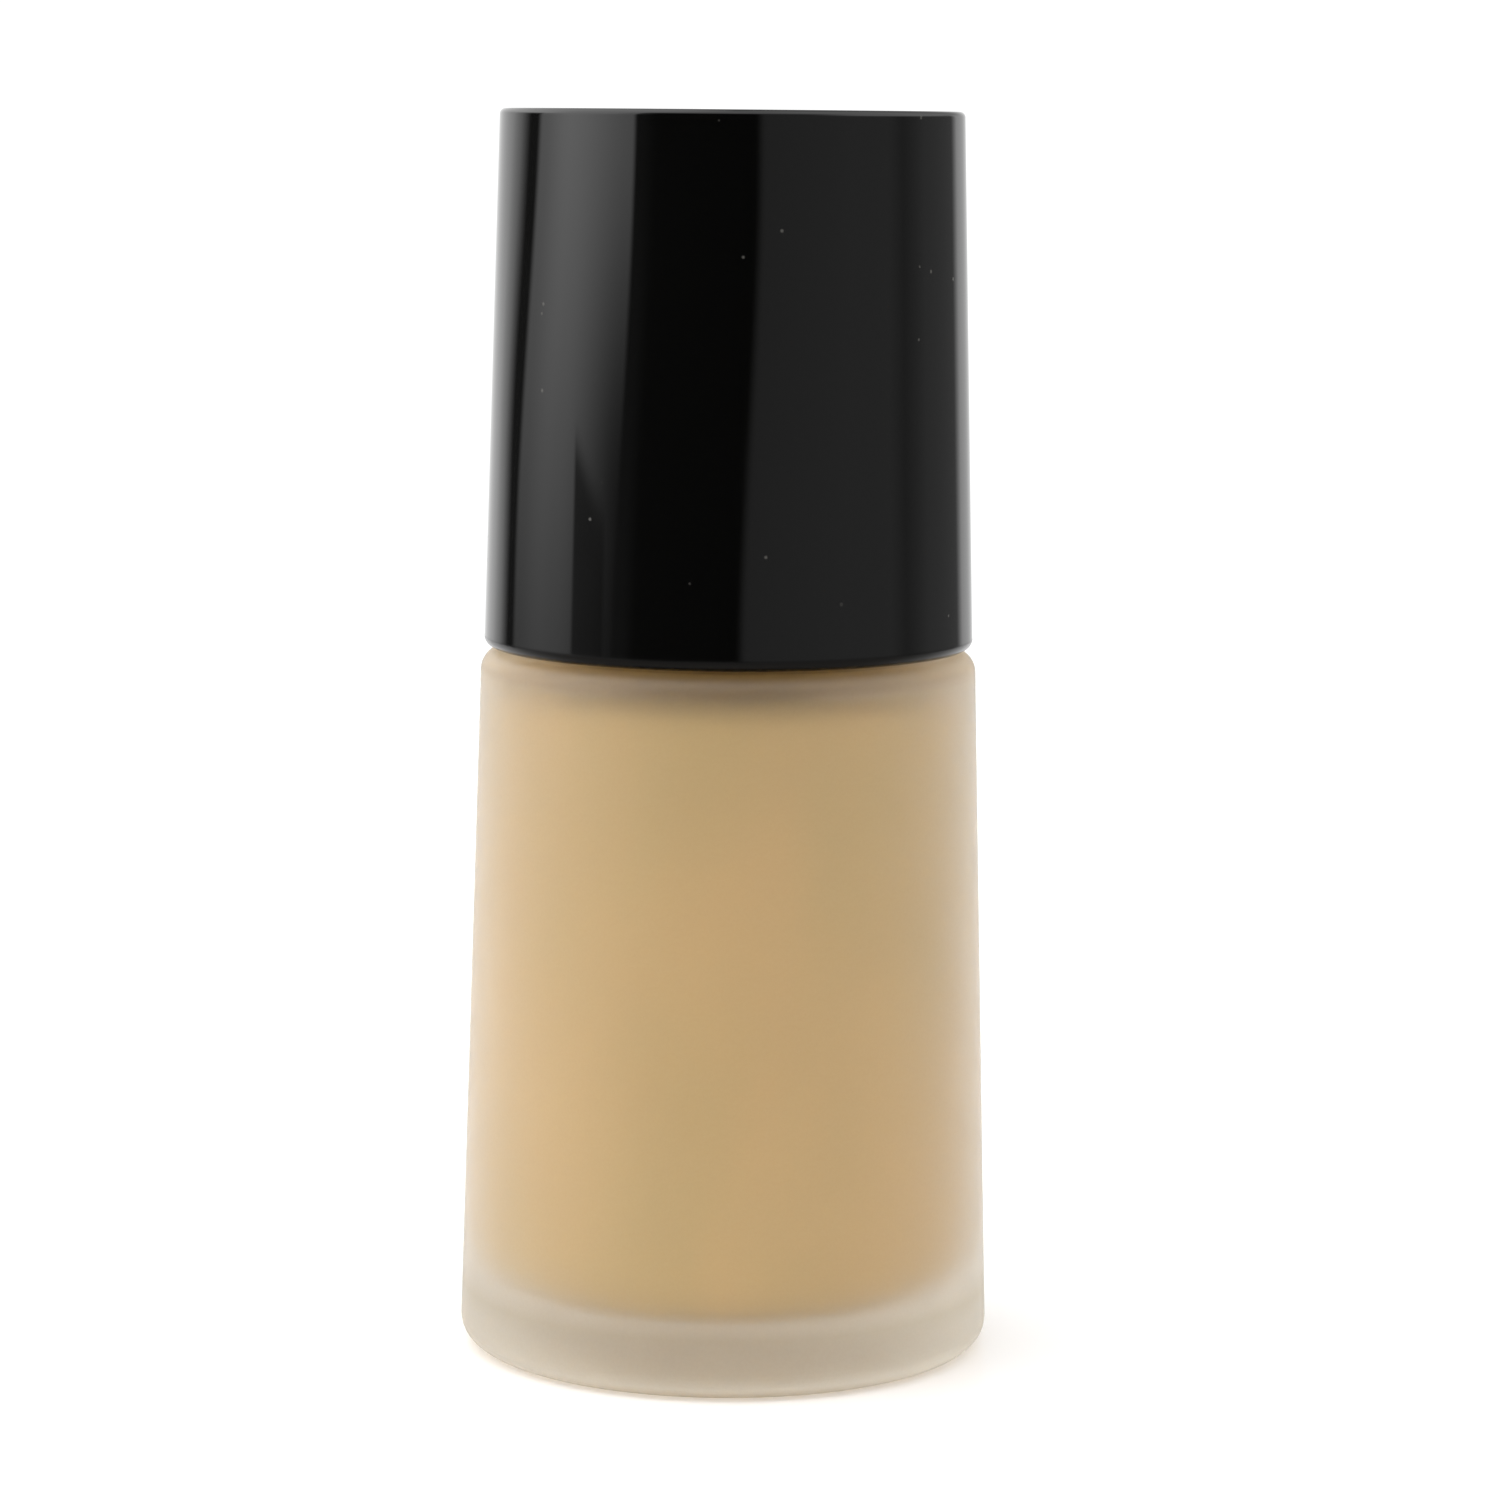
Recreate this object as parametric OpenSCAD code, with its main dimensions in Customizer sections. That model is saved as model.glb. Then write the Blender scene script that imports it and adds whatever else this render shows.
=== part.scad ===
// Foundation bottle: frosted glass, treatment pump and pull-off cap.
// Millimetres, +Z up, origin at the centre of the base. The spout points to -Y.

/* [Glass bottle] */
// Diameter of the glass at its heel
bottle_d = 40; // [39:0.5:42]
// Diameter of the glass at its shoulder
shoulder_d = 37.1; // [36.7:0.1:38]
// Height of the flat shoulder above the base
shoulder_z = 52.8; // [51:0.1:56]
// Thickness of the glass floor at its edge
floor_t = 5.2; // [4:0.1:7]
// How far the inside of the floor dips towards its middle
floor_dish = 1.2; // [0.4:0.1:1.6]
// Thickness of the glass wall
wall_t = 3.9; // [3:0.1:4.5]
// Radius of the heel
heel_r = 1.9; // [1:0.1:2.2]
// Radius of the shoulder edge
shoulder_r = 1.6; // [1:0.1:2.2]
// Air between the liquid and the ceiling of the cavity
air_t = 0.2; // [0.2:0.1:3]

/* [Neck finish] */
// Height of the neck above the shoulder
neck_h = 15.5; // [15:0.1:16]
// Diameter across the thread of the neck
thread_d = 17.7; // [17.5:0.1:17.9]
// Diameter of the neck under the thread
neck_d = 15.5; // [15.3:0.1:15.7]
// Diameter of the bore through the neck
neck_bore_d = 10.6; // [10.4:0.1:11]
// Rise of the thread in one turn
pitch = 3.175; // [3:0.005:3.3]

/* [Pump] */
// Travel of the pump head
stroke = 4.5; // [3.5:0.1:4.8]
// Diameter of the pump chamber
chamber_d = 7.6; // [7.4:0.1:7.8]
// Outer diameter of the dip tube
tube_d = 3.2; // [2.8:0.1:3.4]
// Diameter of the collar that covers the screw closure
collar_d = 22.8; // [22.4:0.1:23.2]
// Diameter of the pump head
head_d = 14.6; // [14:0.1:15.4]
// Height of the pump head
head_h = 11; // [10.6:0.1:11.6]
// Distance of the spout's tip from the axis
spout_reach = 10.7; // [9.5:0.1:10.8]

/* [Cap] */
// Diameter of the cap at its rim
cap_rim_d = 36.6; // [35.8:0.1:36.7]
// Diameter of the cap at its top
cap_top_d = 34.4; // [33.8:0.1:35]
// Height of the cap
cap_h = 39.8; // [39.6:0.1:42]
// Thickness of the cap's side wall
cap_wall = 1.5; // [1.2:0.1:1.8]
// Thickness of the cap's top
cap_top_t = 1.8; // [1.4:0.1:2]

/* [Hidden] */

$fn = 96;
arc_steps = 8;
slip = 0.02;            // radial gap of a running fit
gap = 0.05;             // gap between faces that meet

glass = "#d9cbb9";
liquid = "#c59f6e";
gloss_black = "#0c0c0d";
satin_black = "#1c1c1e";
clear_plastic = "#dfe3e4";
seal_white = "#f1f1ee";
steel = "#b9bcc0";

// Glass
heel_cut = 10;          // degrees left off the heel's arc, so the glass stands on a crisp ring
push_up_h = 0.9;
push_up_r = bottle_d/2 - 4.6;
cavity_foot_r = 2.4;
cavity_top_r = 2.2;
shoulder_t = 1.8;
cavity_top_z = shoulder_z - shoulder_t;
fill_z = cavity_top_z - air_t;
neck_root_r = 0.8;
lip_r = 0.5;
neck_r = neck_d/2;
bore_r = neck_bore_d/2;
bead_z = shoulder_z + 2.1;
bead_r = neck_r + 0.55;
lip_z = shoulder_z + neck_h;

// Threads: the closure's ridge bears on the underside of the neck's ridge
thread_crest_r = thread_d/2;
male_turns = 1.5;
male_low_z = lip_z - 1.9 - male_turns*pitch;
male_root_w = 2.0;
male_crest_w = 0.9;
female_turns = 1.35;
female_root_w = 1.6;
female_crest_w = 0.55;
female_drop = 1.24;
female_lead = 0.3;      // turns that the closure's ridge starts below the neck's
female_crest_r = neck_r + 0.25;
closure_bore_r = thread_crest_r + 0.25;
ring_step = 7.5;        // degrees between a ridge's sections
fade = 24;              // degrees over which a ridge runs out at each end
end_sink = 0.2;         // share of its height that a ridge sinks at its ends
sunk = 0.4;             // how far a ridge's flanks run on into its wall

// Stack above the lip
gasket_t = 1.0;
flange_t = 1.2;
guide_flange_t = 0.8;
flange_r = 7.5;
flange_z = lip_z + gasket_t;
flange_top_z = flange_z + flange_t;
guide_top_z = flange_top_z + guide_flange_t;
closure_wall = 0.9;
closure_top_t = 1.2;
closure_low_z = shoulder_z + 0.7;
panel_z = guide_top_z + gap;
closure_top_z = panel_z + closure_top_t;
sleeve_wall = 0.75;
sleeve_top_t = 0.6;
sleeve_low_z = shoulder_z + 0.3;
sleeve_top_z = closure_top_z + gap + sleeve_top_t;
collar_r = collar_d/2;
grip_count = 24;
grip_w = 0.9;
closure_r = closure_bore_r + closure_wall;

// Pump housing and its valve
chamber_r = chamber_d/2;
barrel_r = chamber_r + 0.95;
throat_r = barrel_r + 0.2;
plug_r = chamber_r + 0.4;
plug_low_z = flange_top_z - 4.5;
ledge_z = lip_z - 19.4;
seat_z = ledge_z - 3.7;
socket_top_z = seat_z - 1.0;
socket_low_z = socket_top_z - 8.2;
port_r = 0.9;
inlet_ball_r = 1.4;
ball_room_r = 2.0;
tooth_h = 0.45;
tooth_w = 0.6;
tooth_tip_r = 1.15;
tooth_count = 4;
tube_r = tube_d/2;
tube_bore_r = tube_r - 0.6;
tube_low_z = floor_t + 1.3;
socket_wall = 0.9;
vent_r = 0.45;
vent_z = lip_z - 1.3;

// Moving stack
stem_r = 2.5;
stem_neck_r = 1.83;
stem_bore_r = 0.9;
spigot_r = 1.25;
spigot_l = 2.4;
plug_bore_r = 0.75;
retainer_r = 2.1;
piston_top_z = plug_low_z - 0.1;
piston_h = 6.1;
web_top_z = piston_top_z - 2.5;
web_t = 2.2;
web_low_z = web_top_z - web_t;
stem_low_z = web_low_z - gap;
retainer_low_z = stem_low_z - 0.9;
head_low_z = sleeve_top_z + stroke + 0.3;
head_top_z = head_low_z + head_h;
head_r = head_d/2;
head_wall = 0.65;
head_edge_r = 0.9;
head_dish = 0.35;
core_r = head_r - head_wall - slip;
core_top_z = head_top_z - 1.25;
spout_z = core_top_z - 2.2;
spout_r = 1.9;
channel_r = 0.8;
socket_r = 3.4;
stem_top_z = spout_z - 0.8;
tower_r = 4.3;
tower_bore_r = 3.6;
tower_top_z = head_low_z + 0.6;
guide_bore_r = stem_r + 0.1;
seal_floor_z = guide_top_z + 1.4;
seal_t = 1.0;
seal_r = 3.3;
core_well_r = tower_r + 0.35;
core_well_top_z = tower_top_z + stroke + 0.3;
outlet_ball_r = 1.25;
outlet_lift = 0.7;
outlet_room_r = 1.6;
outlet_seat_z = stem_top_z - 3.8;
outlet_ball_z = outlet_seat_z + sqrt(pow(outlet_ball_r, 2) - pow(stem_bore_r, 2)) + slip;
pin_low_z = outlet_ball_z + outlet_ball_r + outlet_lift + gap;
pin_r = outlet_room_r - 0.15;
pin_bore_r = 0.7;
insert_r = 1.3;
insert_bore_r = 0.5;
insert_l = 2.2;

// Spring
wire_r = 0.3;
coil_r = 2.7;
coils = 8;
closed_coils = 1;       // touching turns at each end
coil_steps = 18;
wire_sides = 8;
spring_low_z = ledge_z + gap;
spring_top_z = web_low_z - gap;

// Cap
cap_low_z = shoulder_z + 0.25;
cap_top_z = cap_low_z + cap_h;
cap_rim_r = cap_rim_d/2;
cap_top_r = cap_top_d/2;
cap_rim_edge_r = 0.7;
cap_top_edge_r = 0.45;
cap_inner_rim_r = cap_rim_r - cap_wall;
cap_inner_top_r = cap_top_r - cap_wall;
cap_ceiling_z = cap_top_z - cap_top_t;
cap_inner_corner_r = 1.2;
liner_low_z = cap_low_z + 1.2;
liner_top_z = sleeve_top_z - 2;
liner_bore_r = collar_r + 0.3;
liner_wall = 1.0;
liner_disc_t = 1.1;
grip_rib_count = 8;
grip_rib_h = 0.25;

// ---- shared shapes -------------------------------------------------------

// Points on an arc about c from angle a0 to a1
function arc(c, r, a0, a1, n = arc_steps) =
    [for (i = [0:n]) let (a = a0 + (a1 - a0)*i/n) [c[0] + r*cos(a), c[1] + r*sin(a)]];

// Value at z on the line from (z0, v0) to (z1, v1)
function along(z, z0, v0, z1, v1) = v0 + (v1 - v0)*(z - z0)/(z1 - z0);

// A solid of revolution about Z, from [radius, z] points
module lathe(points) {
    rotate_extrude()
        polygon(points);
}

// A plain ring
module ring(inner, outer, low, high) {
    lathe([[inner, low], [outer, low], [outer, high], [inner, high]]);
}

// A closed solid through rings of points that all have the same number of points
module skin(rings) {
    n = len(rings[0]);
    last = len(rings) - 1;
    sides = [
        for (i = [0:last - 1], j = [0:n - 1])
            let (a = i*n + j, b = i*n + (j + 1)%n)
                each [[a, b, b + n], [a, b + n, a + n]]
    ];
    ends = [
        [for (j = [n - 1:-1:0]) j],
        [for (j = [0:n - 1]) last*n + j]
    ];
    polyhedron(points = [for (r = rings) each r], faces = concat(sides, ends));
}

// A right-hand screw ridge whose middle starts at height low and angle turn0.
// Its flanks run on into the wall, and it sinks into the wall at both ends.
module ridge(root_r, crest_r, root_w, crest_w, low, turns, turn0) {
    out = crest_r > root_r ? 1 : -1;
    height = abs(crest_r - root_r);
    base_w = root_w + (root_w - crest_w)*sunk/height;
    span = turns*360;
    steps = ceil(span/ring_step);
    skin([
        for (i = [0:steps])
            let (
                a = span*i/steps,
                z = low + pitch*a/360,
                rise = min(1, a/fade - end_sink, (span - a)/fade - end_sink),
                base = root_r - out*sunk,
                crest = root_r + out*height*rise,
                section = [
                    [base, -base_w/2], [crest, -crest_w/2],
                    [crest, crest_w/2], [base, base_w/2]
                ],
                facing = a + turn0*360
            )
                [for (j = [0:3]) let (p = section[out > 0 ? j : 3 - j])
                    [p[0]*cos(facing), p[0]*sin(facing), z + p[1]]]
    ]);
}

// ---- glass bottle and what is in it --------------------------------------

function outer_r(z) = along(z, heel_r, bottle_d/2, shoulder_z - shoulder_r, shoulder_d/2);
function cavity_r(z) = outer_r(z) - wall_t;

// The dished floor of the cavity, from its middle out to where its corner starts
function dish_line() =
    let (edge = cavity_r(floor_t) - cavity_foot_r)
        [for (i = [0:arc_steps]) let (share = i/arc_steps)
            [edge*share, floor_t - floor_dish*(1 + cos(180*share))/2]];

function glass_outline() = concat(
    [[0, push_up_h], [push_up_r - 1.2, push_up_h], [push_up_r, 0]],
    [[bottle_d/2 - heel_r, 0]],
    arc([bottle_d/2 - heel_r, heel_r], heel_r, -90 + heel_cut, 0),
    arc([shoulder_d/2 - shoulder_r, shoulder_z - shoulder_r], shoulder_r, 0, 90),
    arc([neck_r + neck_root_r, shoulder_z + neck_root_r], neck_root_r, -90, -180),
    [
        [neck_r, bead_z - 0.6], [bead_r, bead_z - 0.25],
        [bead_r, bead_z + 0.25], [neck_r, bead_z + 0.6]
    ],
    arc([neck_r - lip_r, lip_z - lip_r], lip_r, 0, 90),
    arc([bore_r + lip_r, lip_z - lip_r], lip_r, 90, 180),
    arc([bore_r + 1.2, cavity_top_z + 1.2], 1.2, 180, 270),
    arc([cavity_r(cavity_top_z) - cavity_top_r, cavity_top_z - cavity_top_r],
        cavity_top_r, 90, 0),
    arc([cavity_r(floor_t) - cavity_foot_r, floor_t + cavity_foot_r],
        cavity_foot_r, 0, -90 + 90/arc_steps),
    [for (i = [arc_steps:-1:0]) dish_line()[i]]
);

module bottle() {
    color(glass) union() {
        lathe(glass_outline());
        ridge(neck_r, thread_crest_r, male_root_w, male_crest_w,
            male_low_z, male_turns, 0);
    }
}

// Liquid: fills the cavity up to its surface, and stands clear of the pump
module foundation_fill() {
    room = 0.12;
    surface_r = cavity_r(fill_z);
    color(liquid)
        lathe(concat(
            dish_line(),
            arc([cavity_r(floor_t) - cavity_foot_r, floor_t + cavity_foot_r],
                cavity_foot_r, -90 + 90/arc_steps, 0),
            fill_z > cavity_top_z - cavity_top_r
                ? arc([cavity_r(cavity_top_z) - cavity_top_r, cavity_top_z - cavity_top_r],
                    cavity_top_r, 0, asin((fill_z - cavity_top_z + cavity_top_r)/cavity_top_r))
                : [[surface_r, fill_z]],
            [
                [barrel_r + room, fill_z],
                [barrel_r + room, seat_z + 2.3 - room],
                [tube_r + socket_wall + room, socket_top_z - room],
                [tube_r + socket_wall + room, socket_low_z - room],
                [tube_r + room, socket_low_z - room],
                [tube_r + room, tube_low_z - room],
                [0, tube_low_z - room]
            ]
        ));
}

// ---- closure -------------------------------------------------------------

module screw_closure() {
    tower_room = tower_r + 0.2;
    grip_low_z = closure_low_z + 2;
    color(satin_black) union() {
        lathe([
            [closure_bore_r, closure_low_z], [closure_r, closure_low_z],
            [closure_r, closure_top_z], [tower_room, closure_top_z],
            [tower_room, panel_z], [closure_bore_r, panel_z]
        ]);
        ridge(closure_bore_r, female_crest_r, female_root_w, female_crest_w,
            male_low_z - female_drop - female_lead*pitch, female_turns, -female_lead);
        for (i = [0:grip_count - 1])
            rotate(i*360/grip_count)
                translate([closure_r - 0.3, -grip_w/2, grip_low_z])
                    cube([collar_r - sleeve_wall - gap - closure_r + 0.3, grip_w,
                        closure_top_z - 0.6 - grip_low_z]);
    }
}

module collar_sleeve() {
    edge = 0.6;
    inner = collar_r - sleeve_wall;
    color(gloss_black)
        lathe(concat(
            [[inner, sleeve_low_z], [collar_r - 0.2, sleeve_low_z],
                [collar_r, sleeve_low_z + 0.2]],
            arc([collar_r - edge, sleeve_top_z - edge], edge, 0, 90),
            [
                [tower_r + 0.45, sleeve_top_z], [tower_r + 0.25, sleeve_top_z - 0.2],
                [tower_r + 0.25, sleeve_top_z - sleeve_top_t],
                [inner, sleeve_top_z - sleeve_top_t]
            ]
        ));
}

module neck_gasket() {
    color(seal_white)
        ring(throat_r + 0.05, flange_r, lip_z, flange_z);
}

// ---- pump engine ---------------------------------------------------------

module pump_housing() {
    color(clear_plastic) difference() {
        lathe([
            [0, socket_low_z], [tube_r + socket_wall, socket_low_z],
            [tube_r + socket_wall, socket_top_z], [barrel_r, seat_z + 2.3],
            [barrel_r, plug_low_z - 1], [throat_r, plug_low_z - 0.6],
            [throat_r, flange_z], [flange_r, flange_z],
            [flange_r, flange_top_z], [0, flange_top_z]
        ]);
        difference() {
            lathe([
                [0, seat_z], [port_r, seat_z], [ball_room_r, seat_z + 0.9],
                [ball_room_r, ledge_z], [chamber_r, ledge_z],
                [chamber_r, plug_low_z], [plug_r, plug_low_z],
                [plug_r, flange_top_z + 1], [0, flange_top_z + 1]
            ]);
            for (i = [0:tooth_count - 1])
                rotate(i*360/tooth_count + 45)
                    translate([tooth_tip_r, -tooth_w/2, ledge_z - tooth_h])
                        cube([ball_room_r, tooth_w, tooth_h]);
        }
        translate([0, 0, socket_top_z - 0.1])
            cylinder(r = port_r, h = seat_z - socket_top_z + 0.2);
        translate([0, 0, socket_low_z - 1])
            cylinder(r = tube_r, h = socket_top_z - socket_low_z + 1);
        translate([chamber_r - 1, 0, vent_z - 0.2])
            rotate([0, 90, 0])
                cylinder(r = vent_r, h = throat_r - chamber_r + 2);
    }
}

// Straight tube with a slanted lower end
module dip_tube() {
    top = socket_top_z - gap;
    color(clear_plastic) difference() {
        ring(tube_bore_r, tube_r - slip/2, tube_low_z, top);
        translate([0, 0, tube_low_z])
            rotate([0, 35, 0])
                translate([-4, -4, -6])
                    cube([8, 8, 6]);
    }
}

module inlet_ball() {
    rest_z = seat_z + sqrt(pow(inlet_ball_r, 2) - pow(port_r, 2)) + slip;
    color(steel)
        translate([0, 0, rest_z])
            sphere(r = inlet_ball_r);
}

// Snap-in guide that closes the chamber and steers the stem
module housing_cap() {
    color(satin_black)
        lathe([
            [guide_bore_r, plug_low_z], [plug_r - slip, plug_low_z],
            [plug_r - slip, flange_top_z], [flange_r - 0.1, flange_top_z],
            [flange_r - 0.1, guide_top_z], [tower_r, guide_top_z],
            [tower_r, tower_top_z - 0.3], [tower_r - 0.3, tower_top_z],
            [tower_bore_r, tower_top_z], [tower_bore_r, seal_floor_z + seal_t],
            [seal_r + slip, seal_floor_z + seal_t], [seal_r + slip, seal_floor_z],
            [guide_bore_r, seal_floor_z]
        ]);
}

module stem_seal() {
    color(seal_white)
        lathe([
            [stem_r + slip, seal_floor_z + 0.35], [stem_r + 0.35, seal_floor_z],
            [seal_r, seal_floor_z], [seal_r, seal_floor_z + seal_t - gap],
            [stem_r + 0.35, seal_floor_z + seal_t - gap],
            [stem_r + slip, seal_floor_z + 0.65]
        ]);
}

// Height of the wire's middle after t turns, with closed turns at both ends
function coil_z(t) =
    let (
        low = spring_low_z + wire_r,
        high = spring_top_z - wire_r,
        flat = 2*wire_r + 0.02,
        open = coils - 2*closed_coils,
        lead = (high - low - 2*closed_coils*flat)/open
    )
        t < closed_coils ? low + flat*t
        : t > coils - closed_coils ? high - flat*(coils - t)
        : low + flat*closed_coils + lead*(t - closed_coils);

module return_spring() {
    color(steel)
        skin([
            for (i = [0:coils*coil_steps])
                let (t = i/coil_steps, a = 360*t)
                    [for (j = [0:wire_sides - 1])
                        let (b = -360*j/wire_sides, r = coil_r + wire_r*cos(b))
                            [r*cos(a), r*sin(a), coil_z(t) + wire_r*sin(b)]]
        ]);
}

// ---- moving stack --------------------------------------------------------

module piston() {
    lip = chamber_r - slip;
    low = piston_top_z - piston_h;
    color(seal_white)
        lathe([
            [stem_neck_r + slip, web_low_z], [coil_r + wire_r + 0.1, web_low_z],
            [coil_r + wire_r + 0.1, low], [lip - 0.25, low],
            [lip, low + 0.4], [lip, low + 1.1], [lip - 0.35, low + 1.8],
            [lip - 0.35, piston_top_z - 1.8], [lip, piston_top_z - 1.1],
            [lip, piston_top_z - 0.4], [lip - 0.25, piston_top_z],
            [lip - 0.65, piston_top_z], [lip - 0.8, web_top_z],
            [stem_neck_r + slip, web_top_z]
        ]);
}

// Flanged plug pressed into the stem, which keeps the piston on it
module piston_retainer() {
    color(satin_black)
        lathe([
            [plug_bore_r, retainer_low_z], [retainer_r - 0.3, retainer_low_z],
            [retainer_r, retainer_low_z + 0.3], [retainer_r, stem_low_z],
            [spigot_r - slip/2, stem_low_z], [spigot_r - slip/2, stem_low_z + spigot_l],
            [plug_bore_r, stem_low_z + spigot_l]
        ]);
}

module stem() {
    color(seal_white)
        lathe([
            [spigot_r, stem_low_z], [stem_neck_r, stem_low_z],
            [stem_neck_r, web_top_z + gap], [stem_r, web_top_z + gap],
            [stem_r, stem_top_z - 0.3], [stem_r - 0.3, stem_top_z],
            [outlet_room_r, stem_top_z], [outlet_room_r, outlet_seat_z],
            [stem_bore_r, outlet_seat_z], [stem_bore_r, stem_low_z + spigot_l + gap],
            [spigot_r, stem_low_z + spigot_l + gap]
        ]);
}

module outlet_ball() {
    color(steel)
        translate([0, 0, outlet_ball_z])
            sphere(r = outlet_ball_r);
}

// A round bar along -Y at height z
module bar(r, from, to, z) {
    translate([0, -from, z])
        rotate([90, 0, 0])
            cylinder(r = r, h = to - from);
}

module actuator_core() {
    color(satin_black) difference() {
        union() {
            lathe([
                [0, core_well_top_z], [0, core_top_z], [core_r - 0.4, core_top_z],
                [core_r, core_top_z - 0.4], [core_r, head_low_z + 0.6],
                [core_well_r, head_low_z + 0.6], [core_well_r, core_well_top_z]
            ]);
            ring(stem_r, socket_r, guide_top_z + stroke + 3.2, core_well_top_z + 0.5);
            bar(spout_r, core_r - 1, spout_reach, spout_z);
        }
        difference() {
            translate([0, 0, core_well_top_z - 1])
                cylinder(r = stem_r, h = stem_top_z - core_well_top_z + 1);
            difference() {
                ring(0, pin_r, pin_low_z, stem_top_z + 1);
                for (a = [0, 90])
                    rotate(a)
                        translate([-2, -0.3, pin_low_z - 1])
                            cube([4, 0.6, 1.7]);
            }
        }
        translate([0, 0, pin_low_z - 1])
            cylinder(r = pin_bore_r, h = spout_z - pin_low_z + 1);
        bar(channel_r, 0, spout_reach - insert_l + 0.1, spout_z);
        bar(insert_r, spout_reach - insert_l, spout_reach + 1, spout_z);
    }
}

module actuator_shell() {
    color(gloss_black) difference() {
        lathe(concat(
            [[head_r - head_wall, head_low_z], [head_r - 0.2, head_low_z],
                [head_r, head_low_z + 0.2]],
            arc([head_r - head_edge_r, head_top_z - head_edge_r], head_edge_r, 0, 90),
            [
                [head_r - 1.9, head_top_z - 0.06], [head_r*0.4, head_top_z - head_dish],
                [0, head_top_z - head_dish], [0, core_top_z + gap],
                [head_r - head_wall, core_top_z + gap]
            ]
        ));
        bar(spout_r + 0.06, 2, head_r + 2, spout_z);
    }
}

module nozzle_insert() {
    color(satin_black) difference() {
        bar(insert_r - slip/2, spout_reach - insert_l, spout_reach + 0.15, spout_z);
        bar(insert_bore_r, spout_reach - insert_l - 1, spout_reach + 1, spout_z);
    }
}

// ---- cap -----------------------------------------------------------------

module cap_shell() {
    color(gloss_black)
        lathe(concat(
            [[cap_inner_rim_r, cap_low_z]],
            arc([cap_rim_r - cap_rim_edge_r, cap_low_z + cap_rim_edge_r],
                cap_rim_edge_r, -90, 0),
            arc([cap_top_r - cap_top_edge_r, cap_top_z - cap_top_edge_r],
                cap_top_edge_r, 0, 90),
            [[0, cap_top_z], [0, cap_ceiling_z]],
            arc([cap_inner_top_r - cap_inner_corner_r, cap_ceiling_z - cap_inner_corner_r],
                cap_inner_corner_r, 90, 0)
        ));
}

// Inner sleeve that grips the collar, held in the shell by a disc at each end
module cap_liner() {
    function shell_r(z) = along(z, cap_low_z, cap_inner_rim_r, cap_ceiling_z, cap_inner_top_r);
    disc_low_z = liner_top_z - liner_disc_t;
    foot_r = shell_r(liner_low_z + liner_disc_t) - gap;
    head_disc_r = shell_r(liner_top_z) - gap;
    tube_outer_r = liner_bore_r + liner_wall;
    color(satin_black) union() {
        lathe([
            [liner_bore_r, liner_low_z + 0.3], [liner_bore_r + 0.3, liner_low_z],
            [foot_r, liner_low_z], [foot_r, liner_low_z + liner_disc_t],
            [tube_outer_r, liner_low_z + liner_disc_t], [tube_outer_r, disc_low_z],
            [head_disc_r, disc_low_z], [head_disc_r, liner_top_z],
            [liner_bore_r, liner_top_z]
        ]);
        for (i = [0:grip_rib_count - 1])
            rotate((i + 0.5)*360/grip_rib_count)
                translate([liner_bore_r - grip_rib_h, -0.4, liner_low_z + 2])
                    cube([grip_rib_h + 0.3, 0.8, liner_top_z - liner_low_z - 4]);
    }
}

bottle();
foundation_fill();
screw_closure();
collar_sleeve();
neck_gasket();
pump_housing();
dip_tube();
inlet_ball();
housing_cap();
stem_seal();
return_spring();
piston();
piston_retainer();
stem();
outlet_ball();
actuator_core();
actuator_shell();
nozzle_insert();
cap_shell();
cap_liner();
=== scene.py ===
import math

import bmesh
import bpy
from mathutils import Matrix, Vector


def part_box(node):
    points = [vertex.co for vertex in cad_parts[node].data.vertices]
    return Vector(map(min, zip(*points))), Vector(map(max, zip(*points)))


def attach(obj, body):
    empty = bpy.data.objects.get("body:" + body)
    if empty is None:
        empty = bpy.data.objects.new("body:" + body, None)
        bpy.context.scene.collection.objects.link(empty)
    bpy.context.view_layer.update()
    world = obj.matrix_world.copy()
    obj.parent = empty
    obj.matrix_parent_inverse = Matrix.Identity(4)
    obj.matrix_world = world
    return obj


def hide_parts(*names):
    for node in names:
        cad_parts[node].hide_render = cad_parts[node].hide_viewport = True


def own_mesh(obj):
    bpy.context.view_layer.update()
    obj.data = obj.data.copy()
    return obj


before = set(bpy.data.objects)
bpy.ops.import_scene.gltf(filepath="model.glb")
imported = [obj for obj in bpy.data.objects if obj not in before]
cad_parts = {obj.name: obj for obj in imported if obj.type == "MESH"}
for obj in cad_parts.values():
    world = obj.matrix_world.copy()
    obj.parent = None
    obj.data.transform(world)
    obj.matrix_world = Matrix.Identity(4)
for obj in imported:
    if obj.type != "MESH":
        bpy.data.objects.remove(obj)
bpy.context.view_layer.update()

MM = 0.001
FULL_TURN = 2*math.pi


# ---- how finishes are written --------------------------------------------

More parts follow.
